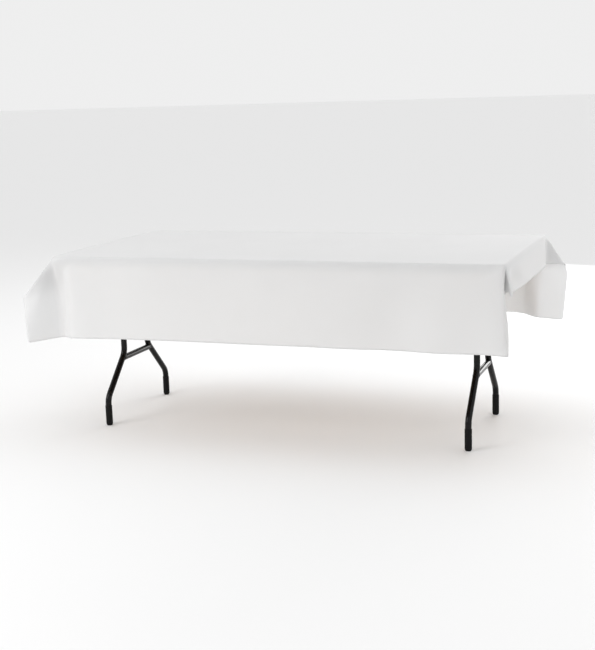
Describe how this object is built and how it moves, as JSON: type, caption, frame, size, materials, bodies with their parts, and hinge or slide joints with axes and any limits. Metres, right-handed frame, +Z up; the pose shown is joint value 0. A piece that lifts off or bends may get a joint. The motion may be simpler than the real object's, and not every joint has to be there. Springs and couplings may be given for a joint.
{
  "type": "tablecloth on a folding table",
  "caption": "Plain white rectangular tablecloth hanging over a folding banquet table with black wishbone leg frames that fold up under the top.",
  "frame": {"origin": "on the floor under the middle of the table top", "axes": "+X along the table to its right end, +Y to its back, +Z up"},
  "size_m": [2.018, 1.107, 0.7388],
  "materials": {
    "cloth": "smooth matt white non-woven cloth",
    "laminate": "satin pale grey laminate",
    "plywood": "raw plywood",
    "edge_band": "black vinyl edging",
    "black_steel": "glossy black powder coat",
    "foot_plastic": "matt dark grey moulded plastic",
    "zinc_steel": "zinc plated pressed steel"
  },
  "bodies": {
    "table_top": {"tablecloth": "cloth", "top_laminate": "laminate", "top_core": "plywood", "edge_band": "edge_band", "front_rail": "black_steel", "back_rail": "black_steel", "front_rail_screw_1": "zinc_steel", "front_rail_screw_2": "zinc_steel", "front_rail_screw_3": "zinc_steel", "back_rail_screw_1": "zinc_steel", "back_rail_screw_2": "zinc_steel", "back_rail_screw_3": "zinc_steel", "left_hinge_bracket_front": "zinc_steel", "left_hinge_bracket_front_screw_1": "zinc_steel", "left_hinge_bracket_front_screw_2": "zinc_steel", "left_hinge_bracket_back": "zinc_steel", "left_hinge_bracket_back_screw_1": "zinc_steel", "left_hinge_bracket_back_screw_2": "zinc_steel", "left_stay_bracket": "zinc_steel", "left_stay_bracket_screw_1": "zinc_steel", "left_stay_bracket_screw_2": "zinc_steel", "left_stay_bracket_rivet": "zinc_steel", "right_hinge_bracket_front": "zinc_steel", "right_hinge_bracket_front_screw_1": "zinc_steel", "right_hinge_bracket_front_screw_2": "zinc_steel", "right_hinge_bracket_back": "zinc_steel", "right_hinge_bracket_back_screw_1": "zinc_steel", "right_hinge_bracket_back_screw_2": "zinc_steel", "right_stay_bracket": "zinc_steel", "right_stay_bracket_screw_1": "zinc_steel", "right_stay_bracket_screw_2": "zinc_steel", "right_stay_bracket_rivet": "zinc_steel"},
    "left_leg_frame": {"left_hinge_tube": "black_steel", "left_leg_front": "black_steel", "left_leg_back": "black_steel", "left_cross_bar": "black_steel", "left_stay_bar": "black_steel", "left_foot_front": "foot_plastic", "left_foot_back": "foot_plastic", "left_stay_lug": "black_steel", "left_lug_rivet": "zinc_steel"},
    "left_upper_link": {"left_stay_upper_link": "zinc_steel", "left_knee_rivet_upper": "zinc_steel"},
    "left_lower_link": {"left_stay_lower_link": "zinc_steel", "left_knee_rivet_lower": "zinc_steel"},
    "right_leg_frame": {"right_hinge_tube": "black_steel", "right_leg_front": "black_steel", "right_leg_back": "black_steel", "right_cross_bar": "black_steel", "right_stay_bar": "black_steel", "right_foot_front": "foot_plastic", "right_foot_back": "foot_plastic", "right_stay_lug": "black_steel", "right_lug_rivet": "zinc_steel"},
    "right_upper_link": {"right_stay_upper_link": "zinc_steel", "right_knee_rivet_upper": "zinc_steel"},
    "right_lower_link": {"right_stay_lower_link": "zinc_steel", "right_knee_rivet_lower": "zinc_steel"}
  },
  "joints": [
    {"name": "left_leg_fold", "type": "hinge", "parent": "table_top", "child": "left_leg_frame", "pos_m": [-0.7985, 0, 0.6817], "axis": [0, -1, 0], "range_deg": [0, 90]},
    {"name": "left_stay_upper_fold", "type": "hinge", "parent": "table_top", "child": "left_upper_link", "pos_m": [-0.5185, 0, 0.7057], "axis": [0, -1, 0], "range_deg": [-44.2, 0]},
    {"name": "left_stay_lower_fold", "type": "hinge", "parent": "left_leg_frame", "child": "left_lower_link", "pos_m": [-0.7805, 0, 0.4417], "axis": [0, -1, 0], "range_deg": [0, 44.2]},
    {"name": "right_leg_fold", "type": "hinge", "parent": "table_top", "child": "right_leg_frame", "pos_m": [0.7385, 0, 0.6817], "axis": [0, 1, 0], "range_deg": [0, 90]},
    {"name": "right_stay_upper_fold", "type": "hinge", "parent": "table_top", "child": "right_upper_link", "pos_m": [0.4585, 0, 0.7057], "axis": [0, 1, 0], "range_deg": [-44.2, 0]},
    {"name": "right_stay_lower_fold", "type": "hinge", "parent": "right_leg_frame", "child": "right_lower_link", "pos_m": [0.7205, 0, 0.4417], "axis": [0, 1, 0], "range_deg": [0, 44.2]}
  ],
  "couplings": [
    {"joint": "left_stay_upper_fold", "follows": "left_leg_fold", "ratio": -0.49006},
    {"joint": "left_stay_lower_fold", "follows": "left_leg_fold", "ratio": 0.48991},
    {"joint": "right_stay_upper_fold", "follows": "right_leg_fold", "ratio": -0.49006},
    {"joint": "right_stay_lower_fold", "follows": "right_leg_fold", "ratio": 0.48991}
  ]
}
